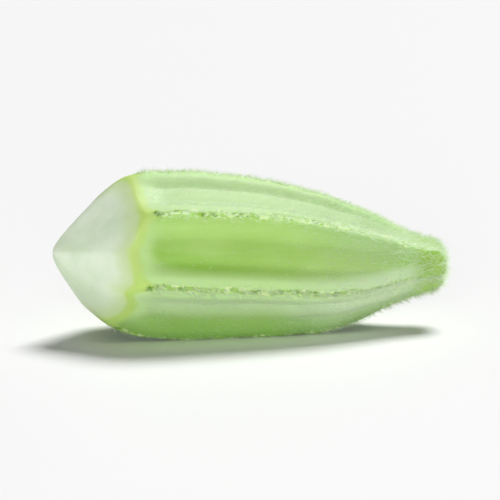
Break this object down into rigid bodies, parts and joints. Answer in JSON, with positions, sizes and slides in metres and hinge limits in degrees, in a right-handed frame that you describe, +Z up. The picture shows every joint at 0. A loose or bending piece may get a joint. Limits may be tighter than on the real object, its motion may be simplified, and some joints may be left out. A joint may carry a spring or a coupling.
{
  "type": "okra pod",
  "caption": "Short ribbed okra pod lying on its side, with its stem end pared to a low cone and a blunt round tip.",
  "frame": {"origin": "centre of the pod's bounding box in X and Y, on the surface it lies on", "axes": "+X from the pared stem end to the tip, +Z up from the surface it lies on, +Y to the left of the pod seen from its stem end"},
  "size_m": [0.04, 0.0168, 0.0164],
  "materials": {
    "skin": "fresh green okra skin with short pale hairs, matt; the pared stem end is pale moist flesh"
  },
  "bodies": {
    "root": {"okra_pod": "skin"}
  },
  "joints": []
}
